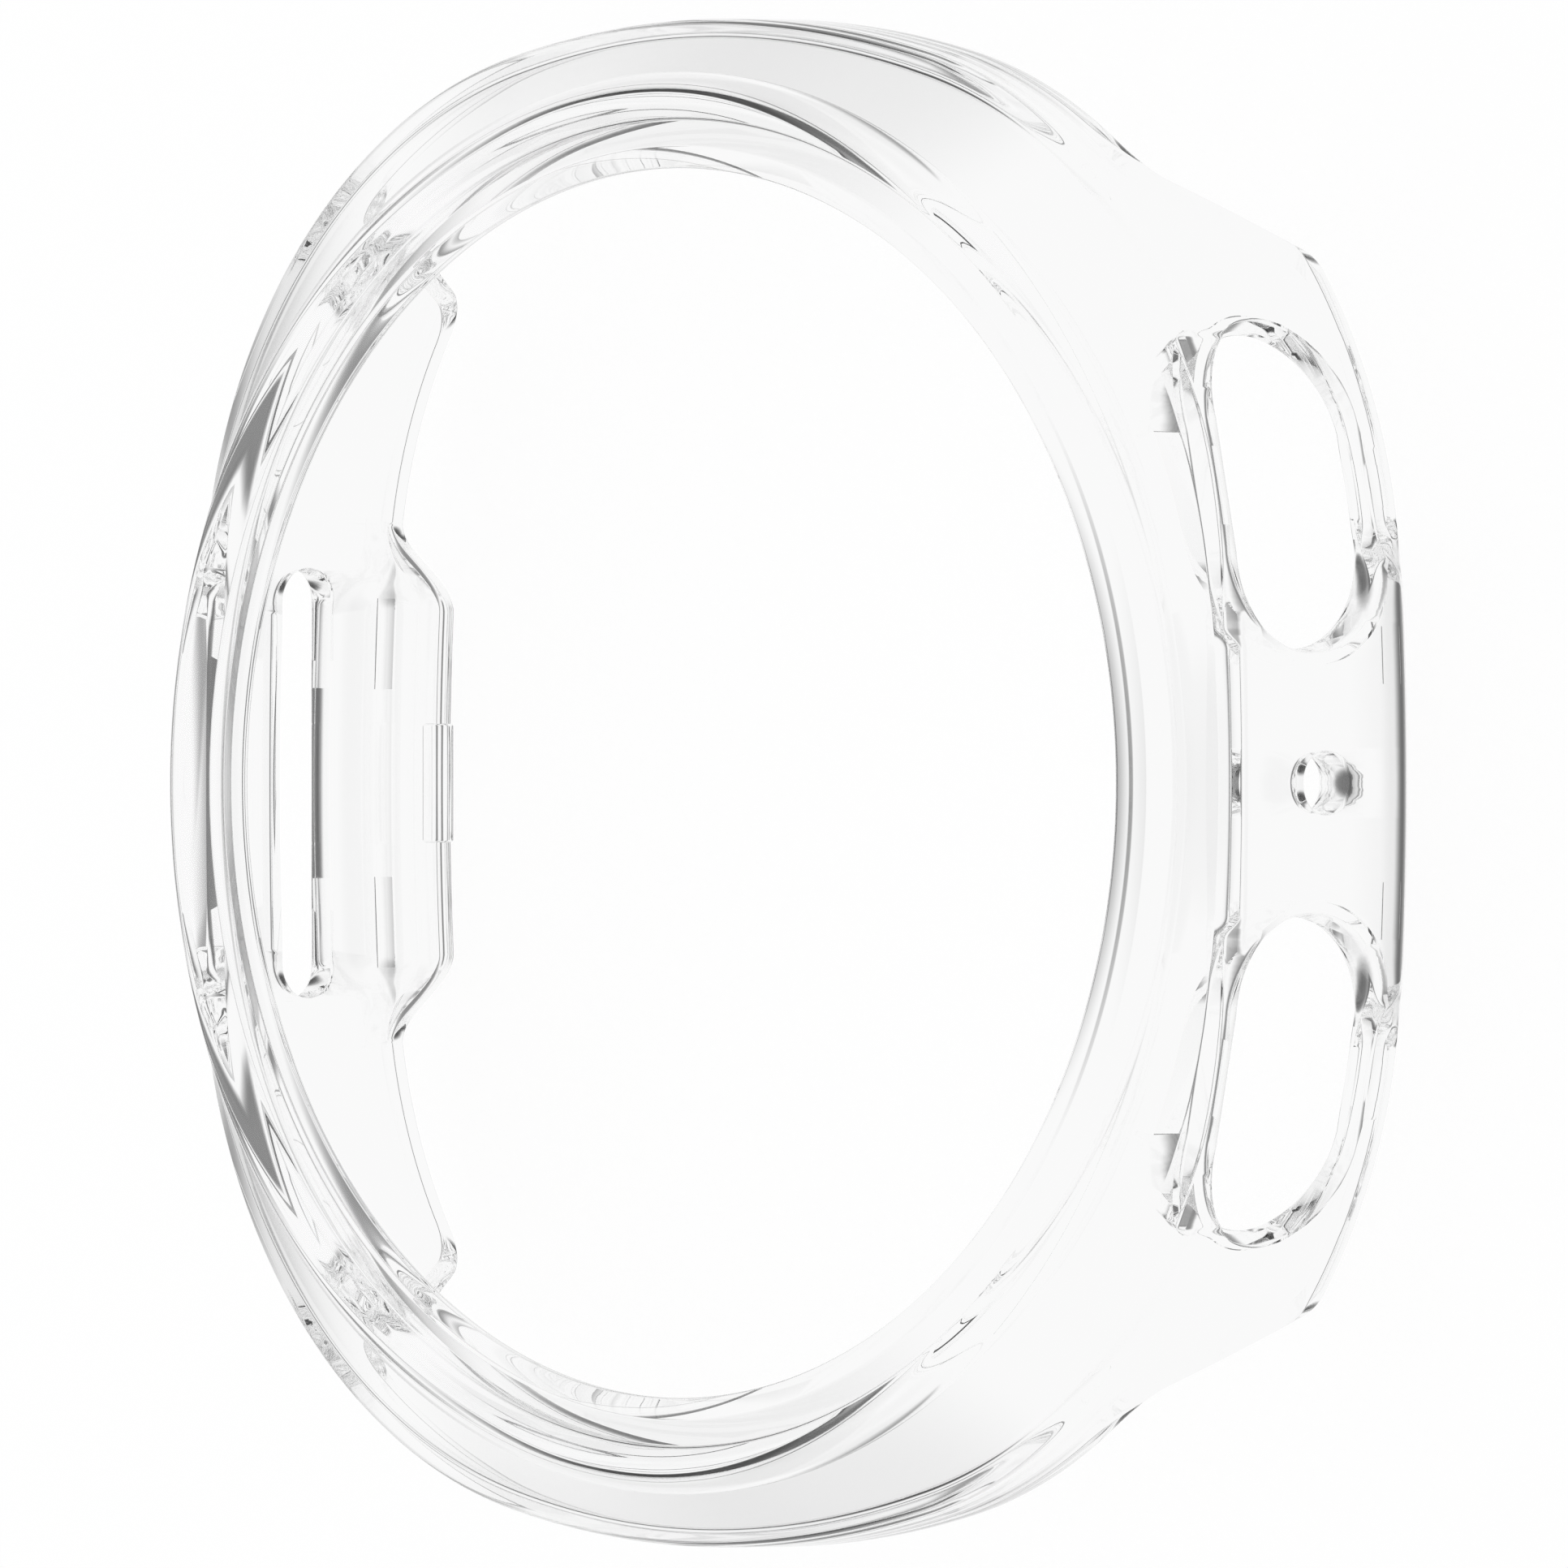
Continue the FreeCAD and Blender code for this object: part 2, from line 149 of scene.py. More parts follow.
def ring_profile():
    """Radius and depth of the ring from the seat under the lip round to its outer wall."""
    tangent = math.hypot(CREST_CENTRE[0] - FACE_BREAK[0], CREST_CENTRE[1] - FACE_BREAK[1])
    bearing = math.atan2(CREST_CENTRE[1] - FACE_BREAK[1], CREST_CENTRE[0] - FACE_BREAK[0])
    slope = math.asin(CREST_ROUND / tangent) - bearing
    corners = [
        ((HEAD_RADIUS, HEAD_DEPTH), 0.0, 1),
        ((HEAD_RADIUS, LIP_UNDERSIDE), 0.15, 5),
        ((LIP_SEAT_RADIUS, LIP_UNDERSIDE), 0.3, 3),
        ((OPENING_RADIUS, LIP_HALF_EDGE), 0.05, 3),
        ((OPENING_RADIUS, -LIP_HALF_EDGE), 0.05, 3),
        (FACE_BREAK, 0.3, 2),
    ]
    points = []
    for index in range(1, len(corners)):
        here, radius, steps = corners[index]
        before = corners[index - 1][0]
        if index + 1 < len(corners):
            after = corners[index + 1][0]
        else:
            after = (
                CREST_CENTRE[0] - CREST_ROUND * math.sin(slope),
                CREST_CENTRE[1] - CREST_ROUND * math.cos(slope),
            )
        points += [tuple(p) for p in rounded(before, here, after, radius, steps)]
    for share in np.linspace(0, 1, CREST_STEPS):
        angle = -math.pi / 2 - slope + share * (math.pi / 2 + slope)
        out, back = CREST_ROUND * math.cos(angle), CREST_ROUND * math.sin(angle)
        points.append((CREST_CENTRE[0] + out, CREST_CENTRE[1] + back))
    return points


RING_POINTS = ring_profile()


# The ears, where the deep side walls slope up to the straps. 1 is the button side, -1 the speaker side,
# where the ears end nearer to the middle and have a rounder corner.
STRAP_DEPTH = 4.1
EAR_DEPTHS = {1: 9.2, -1: 9.4}
EAR_SLOPES = {1: (19.4, 16.6), -1: (18.15, 15.24)}
EAR_CORNERS = {1: 0.8, -1: 1.6}
EAR_TOP_ROUND = 1.5
EDGE_ROUND = 0.05
INNER_EDGE_ROUND = 0.05


def back_depth(y, side):
    """How deep the wall reaches at a place along one side: the ears slope up to the straps."""
    y = abs(y)
    deep = EAR_DEPTHS[side]
    start, end = EAR_SLOPES[side]
    top_round, low_round = EAR_TOP_ROUND, EAR_CORNERS[side]
    tilt = math.atan2(deep - STRAP_DEPTH, start - end)
    top_trim = top_round * math.tan(tilt / 2)
    low_trim = low_round * math.tan(tilt / 2)
    if y >= start + top_trim:
        return STRAP_DEPTH
    if y > start - top_trim * math.cos(tilt):
        return STRAP_DEPTH + top_round - math.sqrt(top_round ** 2 - (start + top_trim - y) ** 2)
    if y >= end + low_trim * math.cos(tilt):
        return STRAP_DEPTH + (start - y) * math.tan(tilt)
    if y > end - low_trim:
        return deep - low_round + math.sqrt(low_round ** 2 - (y - end + low_trim) ** 2)
    return deep


# The catches, which curl behind the watch in the middle of each side and fade into the ears.
# The walls flex as the case is pressed on, until the two tips hook behind the watch.
CATCH_DEPTH = 10.6
CATCH_HALF_LENGTH = 5.6
CATCH_FADE = 2.9
CATCH_REACH = 2.38
TIP_THICKNESS = 0.7
TIP_ROUND = 0.12
TIP_FRONT_ROUND = 0.03
CURL_DEPTH = 3.3
CURL_REACH = 2.2
CURL_STEPS = 15
INNER_CURLS = {1: 0.45, -1: 1.3}

# The guard round the buttons, a slightly raised band, and the panel between the two windows, which is
# raised further. Both are thicker plastic of the same wall, with a small step at their front.
GUARD_RISE = 0.15
GUARD_RAMP = (13.9, 14.3)
GUARD_FRONT = 1.0
PANEL_RISE = 0.35
PANEL_FRONT = 1.43
PANEL_RAMP = (4.2, 4.9)
STEP_ROUND = 0.1
WALL_TOP_DEPTH = 2.9


def smooth(share):
    """Share kept between 0 and 1 and eased at both ends."""
    share = min(max(share, 0.0), 1.0)
    return share * share * (3 - 2 * share)


def ramp(y, span):
    """1 inside a span along the case, 0 outside it, eased between its two ends."""
    return smooth((span[1] - abs(y)) / (span[1] - span[0]))


def catch_share(y):
    """1 along a catch, 0 past the end of its fade."""
    return ramp(y, (CATCH_HALF_LENGTH, CATCH_HALF_LENGTH + CATCH_FADE))


def section(turn, x_sign, y_sign):
    """Closed section of the moulding at one station, as points (x, y, depth)."""
    (px, py), (nx, ny) = quarter_point(turn)
    px, py, nx, ny = px * x_sign, py * y_sign, nx * x_sign, ny * y_sign
    angle = circle_angle(turn)
    cx, cy = math.cos(angle) * x_sign, math.sin(angle) * y_sign

    def on_circle(radius, depth):
        return np.array((cx * radius, cy * radius, depth))

    def on_wall(offset, depth):
        return np.array((px + nx * offset, py + ny * offset, depth))

    guard = ramp(py, GUARD_RAMP) if x_sign > 0 else 0.0
    panel = ramp(py, PANEL_RAMP) if x_sign > 0 else 0.0
    rise = GUARD_RISE + (PANEL_RISE - GUARD_RISE) * panel
    fade = catch_share(py)
    back_rise = PANEL_RISE * fade if x_sign > 0 else 0.0

    def back(offset):
        return back_depth(py + ny * offset, x_sign) + (CATCH_DEPTH - EAR_DEPTHS[x_sign]) * fade

    curl = fade if x_sign > 0 else fade ** 2
    curl_deep = EDGE_ROUND + (CURL_DEPTH - EDGE_ROUND) * curl
    curl_wide = EDGE_ROUND + (CURL_REACH - EDGE_ROUND) * curl + back_rise

    ring_edge = on_circle(RING_RADIUS, 0.0)
    knee = on_wall(0.0, SHOULDER_DEPTH)
    points = [on_circle(r, d) for r, d in RING_POINTS]
    skirt_way = knee - ring_edge
    plain = rounded(ring_edge, knee, on_wall(0.0, STRAP_DEPTH), SHOULDER_ROUND, 9)
    base = ring_edge + skirt_way * (GUARD_FRONT / SHOULDER_DEPTH)
    front = on_wall(rise, GUARD_FRONT + (PANEL_FRONT - GUARD_FRONT) * panel)
    stepped = rounded(ring_edge, base, front, STEP_ROUND, 4)
    stepped += rounded(base, front, on_wall(rise, STRAP_DEPTH), STEP_ROUND, 4)
    points += [ring_edge + skirt_way * share for share in (0.2, 0.4)]
    points += [a + (b - a) * guard for a, b in zip(plain, stepped)]
    wall_top = on_wall(rise * guard, WALL_TOP_DEPTH)
    curl_top = on_wall(back_rise, back(back_rise) - curl_deep)
    # A row close above the curl, and one close above the inner round, keep the flat walls' shading flat.
    close_above_curl = curl_top + (wall_top - curl_top) * 0.02
    points += [wall_top, close_above_curl]

    for share in np.linspace(0, 1, CURL_STEPS):
        bend = share * math.pi / 2
        offset = back_rise - curl_wide * (1 - math.cos(bend))
        points.append(on_wall(offset, back(offset) - curl_deep * (1 - math.sin(bend))))
    reach = -WALL + (WALL - CATCH_REACH) * fade
    depth = back(reach)
    edge = on_wall(back_rise - curl_wide, back(back_rise - curl_wide))
    tip_back = on_wall(reach, depth)
    tip_front = on_wall(reach, depth - TIP_THICKNESS)
    inner_round = INNER_EDGE_ROUND + (INNER_CURLS[x_sign] - INNER_EDGE_ROUND) * fade ** 4
    above = on_wall(-WALL, INNER_SHOULDER_DEPTH)
    inner_edge = INNER_EDGE_ROUND + (TIP_ROUND - INNER_EDGE_ROUND) * fade
    points += rounded(edge, tip_back, on_wall(reach, depth - 2.2 * inner_edge), inner_edge, 3)
    wall_foot = INNER_SHOULDER_DEPTH + INNER_SHOULDER_ROUND
    if fade > 0.001:
        low = depth - TIP_THICKNESS
        reachable = min(inner_round, abs(reach + WALL) * 0.8)
        points += rounded(tip_back, tip_front, on_wall(-WALL, low), TIP_FRONT_ROUND, 3)
        points += rounded(tip_front, on_wall(-WALL, low), on_wall(-WALL, low - 3), reachable, 7)
        close_above_round = on_wall(-WALL, low - 1.1 * reachable - 0.1)
        points += [close_above_round, on_wall(-WALL, wall_foot)]
    else:
        start = depth - 0.3
        points += [on_wall(-WALL, start + (wall_foot - start) * share) for share in np.linspace(0, 1, 14)]
    head = on_circle(HEAD_RADIUS, HEAD_DEPTH)
    points += rounded(on_wall(-WALL, INNER_SHOULDER_DEPTH + 0.8), above, head, INNER_SHOULDER_ROUND, 6)
    points += [above + (head - above) * share for share in (0.5, 0.75)]
    points += rounded(above, head, on_circle(HEAD_RADIUS, LIP_UNDERSIDE + 0.12), 0.05, 2)
    return points


# Where the section is drawn: closest where the form changes.
PANEL_SPACING = 0.28
WALL_SPACING = 0.2
EAR_SPACING = 0.09
EAR_SPAN = (14.4, 20.6)
BETWEEN_RAMP_AND_CATCH = (5.1, 5.35)
PAST_THE_CATCH = 8.6
RAMP_STATIONS = 9
FADE_STATIONS = 30
END_STATIONS = 70


def quarter_turns():
    """Turns of the stations in one quarter: even along the plan, close where the form changes."""
    ys = list(np.arange(0.0, PANEL_RAMP[0], PANEL_SPACING))
    ys += list(np.linspace(*PANEL_RAMP, RAMP_STATIONS)) + list(BETWEEN_RAMP_AND_CATCH)
    ys += list(np.linspace(CATCH_HALF_LENGTH, CATCH_HALF_LENGTH + CATCH_FADE, FADE_STATIONS))
    ys += list(np.arange(PAST_THE_CATCH, GUARD_RAMP[0], WALL_SPACING))
    ys += list(np.linspace(*GUARD_RAMP, RAMP_STATIONS))
    ys += list(np.arange(*EAR_SPAN, EAR_SPACING))
    turns = sorted(turn_at(y) for y in ys)
    turns += list(np.linspace(turns[-1], math.pi / 2, END_STATIONS))[1:]
    keep = [turns[0]]
    for turn in turns[1:]:
        if turn - keep[-1] > 1e-6:
            keep.append(turn)
    return keep


def tidy_skin(mesh):
    """Merges points that coincide and turns every face outwards."""
    work = bmesh.new()
    work.from_mesh(mesh)
    bmesh.ops.remove_doubles(work, verts=work.verts, dist=1e-7)
    bmesh.ops.dissolve_degenerate(work, edges=work.edges, dist=1e-7)
    bmesh.ops.recalc_face_normals(work, faces=work.faces)
    if work.calc_volume(signed=True) < 0:
        bmesh.ops.reverse_faces(work, faces=work.faces)
    work.to_mesh(mesh)
    work.free()


def moulding_mesh(name):
    """The swept section as one closed skin."""
    turns = quarter_turns()
    stations = [(t, 1, 1) for t in turns]
    stations += [(t, -1, 1) for t in reversed(turns[:-1])]
    stations += [(t, -1, -1) for t in turns[1:]]
    stations += [(t, 1, -1) for t in reversed(turns[1:-1])]
    loops = [section(*station) for station in stations]
    count = len(loops[0])
    assert all(len(loop) == count for loop in loops)
    points = np.array(loops)
    points[:, :, 2] = BACK_LEVEL - points[:, :, 2]
    points = (points * MM).reshape(-1, 3)
    faces = []
    total = len(loops)
    for i in range(total):
        j = (i + 1) % total
        for k in range(count):
            m = (k + 1) % count
            faces.append((i * count + k, j * count + k, j * count + m, i * count + m))
    mesh = bpy.data.meshes.new(name)
    mesh.from_pydata(points.tolist(), [], faces)
    tidy_skin(mesh)
    return mesh


def linked(name, mesh):
    """Object at the origin that carries a mesh."""
    made = bpy.data.objects.new(name, mesh)
    bpy.context.scene.collection.objects.link(made)
    return made


moulding = linked("case_moulding", moulding_mesh("case_moulding"))

# The openings in the side walls: two long windows for the buttons and a round hole for the microphone at
# 3 o'clock, and a slot for the speaker at 9 o'clock. The mould leaves them open, with softly flared edges.
WINDOW_DEPTHS = (1.85, 8.1)
# Where a window starts and ends along the case, at the wall's outer and inner face.
WINDOW_OUTER = (4.15, 14.52)
WINDOW_INNER = (4.22, 14.08)
WINDOW_FLARES = (0.28, 0.15)
MICROPHONE_RADIUS = 1.0
MICROPHONE_DEPTH = 5.27
SPEAKER_HALF_LENGTH = 6.86
SPEAKER_DEPTHS = (4.23, 6.42)
SMALL_FLARES = (0.11, 0.1)
END_FLAT = 0.01
FLARE_TURN = 68
CUTTER_SPREAD = 0.25
CUTTER_REACH = 0.8


def wall_x(y, offset):
    """Distance from the middle plane to the side wall, at an offset from the plan."""
    centre, radius = SIDE_CENTRE, SIDE_RADIUS
    if abs(y) > (SIDE_RADIUS + offset) * math.sin(SIDE_TURN):
        centre, radius = CORNER, CORNER_RADIUS
    return centre[0] + math.sqrt((radius + offset) ** 2 - (abs(y) - centre[1]) ** 2)


def stadium(y_low, y_high, d_low, d_high, radius, steps):
    """Rounded rectangle in the plane of a side wall, as (y, depth) and the way outwards there."""
    points = []
    for cy, cd, first in (
        (y_high - radius, d_high - radius, 0),
        (y_low + radius, d_high - radius, 90),
        (y_low + radius, d_low + radius, 180),
        (y_high - radius, d_low + radius, 270),
    ):
        for k in range(steps + 1):
            a = math.radians(first + 90 * k / steps)
            points.append((cy + radius * math.cos(a), cd + radius * math.sin(a), math.cos(a), math.sin(a)))
    return points


def opening_cutter(name, outer_loop, inner_loop, side, outer, inner, flares):
    """Closed cutter through a side wall, flared where it meets the wall's outer and inner face."""
    steep = math.radians(FLARE_TURN)
    bends = [steep * share for share in (1.0, 0.8, 0.6, 0.4, 0.2, 0.0)]
    rows = []
    halves = ((outer_loop, outer, flares[0], 1), (inner_loop, inner, flares[1], -1))
    for loop, wall_at, flare, way in halves:
        spread = flare * (1 - math.cos(steep)) + CUTTER_SPREAD
        lift = flare * (math.sin(steep) - 1) + CUTTER_SPREAD / math.tan(steep)
        ends = [wall_at(y) for y, *rest in loop]
        end = max(ends) + CUTTER_REACH if way > 0 else min(ends) - CUTTER_REACH
        half = [[(end, y + ny * spread, d + nd * spread) for y, d, ny, nd in loop]]
        half.append([(wall_at(y) + way * lift, y + ny * spread, d + nd * spread) for y, d, ny, nd in loop])
        for bend in bends:
            wide = flare * (1 - math.cos(bend))
            shift = way * flare * (math.sin(bend) - 1)
            half.append([(wall_at(y) + shift, y + ny * wide, d + nd * wide) for y, d, ny, nd in loop])
        rows += half if way > 0 else half[::-1]
    points = [(side * x * MM, y * MM, (BACK_LEVEL - d) * MM) for row in rows for x, y, d in row]
    count = len(outer_loop)
    faces = []
    for r in range(len(rows) - 1):
        for k in range(count):
            m = (k + 1) % count
            faces.append((r * count + k, r * count + m, (r + 1) * count + m, (r + 1) * count + k))
    faces.append(tuple(range(count - 1, -1, -1)))
    faces.append(tuple((len(rows) - 1) * count + k for k in range(count)))
    mesh = bpy.data.meshes.new(name)
    mesh.from_pydata(points, [], faces)
    tidy_skin(mesh)
    return linked(name, mesh)


def inner_wall_x(y):
    """Distance from the middle plane to the inner face of the side wall."""
    return wall_x(y, -WALL)


cutters = []
window_round = (WINDOW_DEPTHS[1] - WINDOW_DEPTHS[0] - END_FLAT) / 2
for side in (1, -1):
    loops = []
    for span in (WINDOW_OUTER, WINDOW_INNER):
        y_low, y_high = sorted((span[0] * side, span[1] * side))
        loops.append(stadium(y_low, y_high, *WINDOW_DEPTHS, window_round, 24))
    cutters.append(opening_cutter(
        "window", *loops, 1, lambda y: wall_x(y, GUARD_RISE * ramp(y, GUARD_RAMP)), inner_wall_x,
        WINDOW_FLARES,
    ))
depths = (MICROPHONE_DEPTH - MICROPHONE_RADIUS, MICROPHONE_DEPTH + MICROPHONE_RADIUS)
loop = stadium(-MICROPHONE_RADIUS, MICROPHONE_RADIUS, *depths, MICROPHONE_RADIUS, 12)
cutters.append(opening_cutter(
    "microphone", loop, loop, 1, lambda y: wall_x(y, PANEL_RISE), inner_wall_x, SMALL_FLARES,
))
slot_round = (SPEAKER_DEPTHS[1] - SPEAKER_DEPTHS[0] - END_FLAT) / 2
loop = stadium(-SPEAKER_HALF_LENGTH, SPEAKER_HALF_LENGTH, *SPEAKER_DEPTHS, slot_round, 12)
cutters.append(opening_cutter(
    "speaker", loop, loop, -1, lambda y: wall_x(y, 0), inner_wall_x, SMALL_FLARES,
))

# The beads and the stop: flat ribs moulded on the inner faces of the catches, two to a side, that grip the
# watch's back edge, and a small block in the middle of the tip of the catch at the speaker side.
BEAD_RISE = 0.04
BEAD_HEIGHT = 0.78
BEAD_DEPTH = 8.85
SPEAKER_BEAD = (3.0, 5.9)
BUTTON_BEAD = (3.1, 4.9)
STOP_HALF_LENGTH = 1.9
STOP_RISE = 0.15
STOP_ROOT = 0.5
STOP_ROUND = 0.1


def joined(name, parts):
    """One object with the skins of several, which are taken away."""
    work = bmesh.new()
    for part in parts:
        work.from_mesh(part.data)
        bpy.data.objects.remove(part)
    mesh = bpy.data.meshes.new(name)
    work.to_mesh(mesh)
    work.free()
    return linked(name, mesh)


def tip_stop_mesh(name):
    """Softened block in the middle of the catch's tip at the speaker side."""
    tip = CATCH_REACH - PLAN_HALF[0]
    back = BACK_LEVEL - CATCH_DEPTH
    least = (tip - STOP_ROOT, -STOP_HALF_LENGTH, back)
    most = (tip + STOP_RISE, STOP_HALF_LENGTH, back + TIP_THICKNESS + STOP_RISE)
    mesh = bpy.data.meshes.new(name)
    work = bmesh.new()
    bmesh.ops.create_cube(work, size=1.0)
    for vert in work.verts:
        vert.co = Vector([(a + (v + 0.5) * (b - a)) * MM for v, a, b in zip(vert.co, least, most)])
    bmesh.ops.bevel(
        work, geom=work.edges[:], offset=STOP_ROUND * MM, segments=4, profile=0.5, affect="EDGES",
    )
    work.to_mesh(mesh)
    work.free()
    return mesh


def bead_places(name):
    """Points on the catches' inner walls where a bead stands, each with its length and its turn."""
    rows = []
    for side, span in ((-1, SPEAKER_BEAD), (1, BUTTON_BEAD)):
        y = (span[0] + span[1]) / 2
        turn = turn_at(y)
        for way in (1, -1):
            place = (side * inner_wall_x(y) * MM, y * way * MM, (BACK_LEVEL - BEAD_DEPTH) * MM)
            rows.append((place, span[1] - span[0], turn * side * way))
    mesh = bpy.data.meshes.new(name)
    mesh.from_pydata([row[0] for row in rows], [], [])
    length = mesh.attributes.new("bead_length", "FLOAT", "POINT")
    turned = mesh.attributes.new("bead_turn", "FLOAT", "POINT")
    for index, row in enumerate(rows):
        length.data[index].value = row[1] * MM
        turned.data[index].value = row[2]
    return mesh


def bead_tree():
    """Geometry nodes: a flat bead is set at each place, as long as the place asks."""
    tree = bpy.data.node_groups.new("snap_beads", "GeometryNodeTree")
    face = tree.interface
    face.new_socket("Places", in_out="INPUT", socket_type="NodeSocketGeometry")
    for label in ("Thickness", "Height"):
        face.new_socket(label, in_out="INPUT", socket_type="NodeSocketFloat")
    face.new_socket("Plastic", in_out="INPUT", socket_type="NodeSocketMaterial")
    face.new_socket("Beads", in_out="OUTPUT", socket_type="NodeSocketGeometry")
    nodes, links = tree.nodes, tree.links
    given = nodes.new("NodeGroupInput")
    result = nodes.new("NodeGroupOutput")
    size = nodes.new("ShaderNodeCombineXYZ")
    links.new(given.outputs["Thickness"], size.inputs["X"])
    size.inputs["Y"].default_value = 1.0
    links.new(given.outputs["Height"], size.inputs["Z"])
    block = nodes.new("GeometryNodeMeshCube")
    links.new(size.outputs[0], block.inputs["Size"])
    length = nodes.new("GeometryNodeInputNamedAttribute")
    length.data_type = "FLOAT"
    length.inputs["Name"].default_value = "bead_length"
    scale = nodes.new("ShaderNodeCombineXYZ")
    scale.inputs["X"].default_value = 1.0
    scale.inputs["Z"].default_value = 1.0
    links.new(length.outputs["Attribute"], scale.inputs["Y"])
    turn = nodes.new("GeometryNodeInputNamedAttribute")
    turn.data_type = "FLOAT"
    turn.inputs["Name"].default_value = "bead_turn"
    turned = nodes.new("ShaderNodeCombineXYZ")
    links.new(turn.outputs["Attribute"], turned.inputs["Z"])
    spread = nodes.new("GeometryNodeInstanceOnPoints")
    links.new(given.outputs["Places"], spread.inputs["Points"])
    links.new(block.outputs["Mesh"], spread.inputs["Instance"])
    links.new(turned.outputs[0], spread.inputs["Rotation"])
    links.new(scale.outputs[0], spread.inputs["Scale"])
    real = nodes.new("GeometryNodeRealizeInstances")
    links.new(spread.outputs["Instances"], real.inputs["Geometry"])
    finish = nodes.new("GeometryNodeSetMaterial")
    links.new(real.outputs["Geometry"], finish.inputs["Geometry"])
    links.new(given.outputs["Plastic"], finish.inputs["Material"])
    links.new(finish.outputs["Geometry"], result.inputs["Beads"])
    return tree


clear = bpy.data.materials.new("clear_polycarbonate")
beads = linked("snap_beads", bead_places("snap_beads"))
tree = bead_tree()
shaper = beads.modifiers.new("beads", "NODES")
shaper.node_group = tree
inputs = {item.name: item.identifier for item in tree.interface.items_tree if item.in_out == "INPUT"}
shaper[inputs["Thickness"]] = 2 * BEAD_RISE * MM
shaper[inputs["Height"]] = BEAD_HEIGHT * MM
shaper[inputs["Plastic"]] = clear
bpy.context.view_layer.update()
beads.data = bpy.data.meshes.new_from_object(beads.evaluated_get(bpy.context.evaluated_depsgraph_get()))
beads.modifiers.clear()
tidy_skin(beads.data)
stop = linked("tip_stop", tip_stop_mesh("tip_stop"))


# The finished moulding: beads and stop are one with the walls, the openings go through them, and all of it is
# the same water-clear polycarbonate, polished on every face. It hardly throws a shadow.
REFRACTION = 1.58
SHARP_FROM = 32


def blend(tree, first, second):
    """Mix Shader node between two shaders of a material."""
    node = tree.nodes.new("ShaderNodeMixShader")
    tree.links.new(first, node.inputs[1])
    tree.links.new(second, node.inputs[2])
    return node


steps = [(joined("added", [beads, stop]), "UNION"), (joined("removed", cutters), "DIFFERENCE")]
for other, operation in steps:
    step = moulding.modifiers.new(other.name, "BOOLEAN")
    step.operation = operation
    step.solver = "EXACT"
    step.object = other
bpy.context.view_layer.update()
finished = bpy.data.meshes.new_from_object(moulding.evaluated_get(bpy.context.evaluated_depsgraph_get()))
moulding.modifiers.clear()
moulding.data = finished
for other, operation in steps:
    bpy.data.objects.remove(other)
tidy_skin(finished)
finished.polygons.foreach_set("use_smooth", [True] * len(finished.polygons))
finished.set_sharp_from_angle(angle=math.radians(SHARP_FROM))

clear.use_nodes = True
nodes, links = clear.node_tree.nodes, clear.node_tree.links
plastic = nodes["Principled BSDF"]
plastic.inputs["Base Color"].default_value = (1.0, 1.0, 1.0, 1.0)
plastic.inputs["Roughness"].default_value = 0.0
plastic.inputs["IOR"].default_value = REFRACTION
plastic.inputs["Transmission Weight"].default_value = 1.0
path = nodes.new("ShaderNodeLightPath")
through = nodes.new("ShaderNodeBsdfTransparent")
mix = blend(clear.node_tree, plastic.outputs["BSDF"], through.outputs["BSDF"])
links.new(path.outputs["Is Shadow Ray"], mix.inputs["Fac"])
links.new(mix.outputs["Shader"], nodes["Material Output"].inputs["Surface"])
finished.materials.clear()
finished.materials.append(clear)
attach(moulding, "root")
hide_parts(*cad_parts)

# The studio: a white sheet that runs on behind the case, lit evenly from all round.
# The sheet keeps a faint shadow. What the clear plastic bends and mirrors is the room, which is white
# but for a few soft dim places, so that the edges of the moulding draw themselves as grey lines.
SHEET_REACH = 0.6
SHEET_DROP = 0.0002
SHEET_WHITE = 0.98
SHEET_GLOW_SHARE = 0.9


def either(tree, first, second):
    """Output that is 1 where at least one of two yes-or-no outputs is."""
    node = tree.nodes.new("ShaderNodeMath")
    node.operation = "MAXIMUM"
    tree.links.new(first, node.inputs[0])
    tree.links.new(second, node.inputs[1])
    return node.outputs[0]


sheet_corners = [(x * SHEET_REACH, y * SHEET_REACH, 0) for x, y in ((-1, -1), (1, -1), (1, 1), (-1, 1))]
floor_mesh = bpy.data.meshes.new("floor")
floor_mesh.from_pydata(sheet_corners, [], [(0, 1, 2, 3)])
floor = linked("floor", floor_mesh)
floor.location.z = -SHEET_DROP
paint = bpy.data.materials.new("floor_paint")
paint.use_nodes = True
nodes, links = paint.node_tree.nodes, paint.node_tree.links
base = nodes["Principled BSDF"]
base.inputs["Base Color"].default_value = (SHEET_WHITE, SHEET_WHITE, SHEET_WHITE, 1.0)
base.inputs["Roughness"].default_value = 0.9
base.inputs["Specular IOR Level"].default_value = 0.0
glow = nodes.new("ShaderNodeEmission")
mix = blend(paint.node_tree, base.outputs["BSDF"], glow.outputs["Emission"])
mix.inputs["Fac"].default_value = SHEET_GLOW_SHARE
path = nodes.new("ShaderNodeLightPath")
geometry = nodes.new("ShaderNodeNewGeometry")
bent = either(paint.node_tree, path.outputs["Is Glossy Ray"], path.outputs["Is Transmission Ray"])
passed = either(paint.node_tree, bent, geometry.outputs["Backfacing"])
open_side = nodes.new("ShaderNodeBsdfTransparent")
sheet = blend(paint.node_tree, mix.outputs["Shader"], open_side.outputs["BSDF"])
links.new(passed, sheet.inputs["Fac"])
links.new(sheet.outputs["Shader"], nodes["Material Output"].inputs["Surface"])
floor_mesh.materials.append(paint)

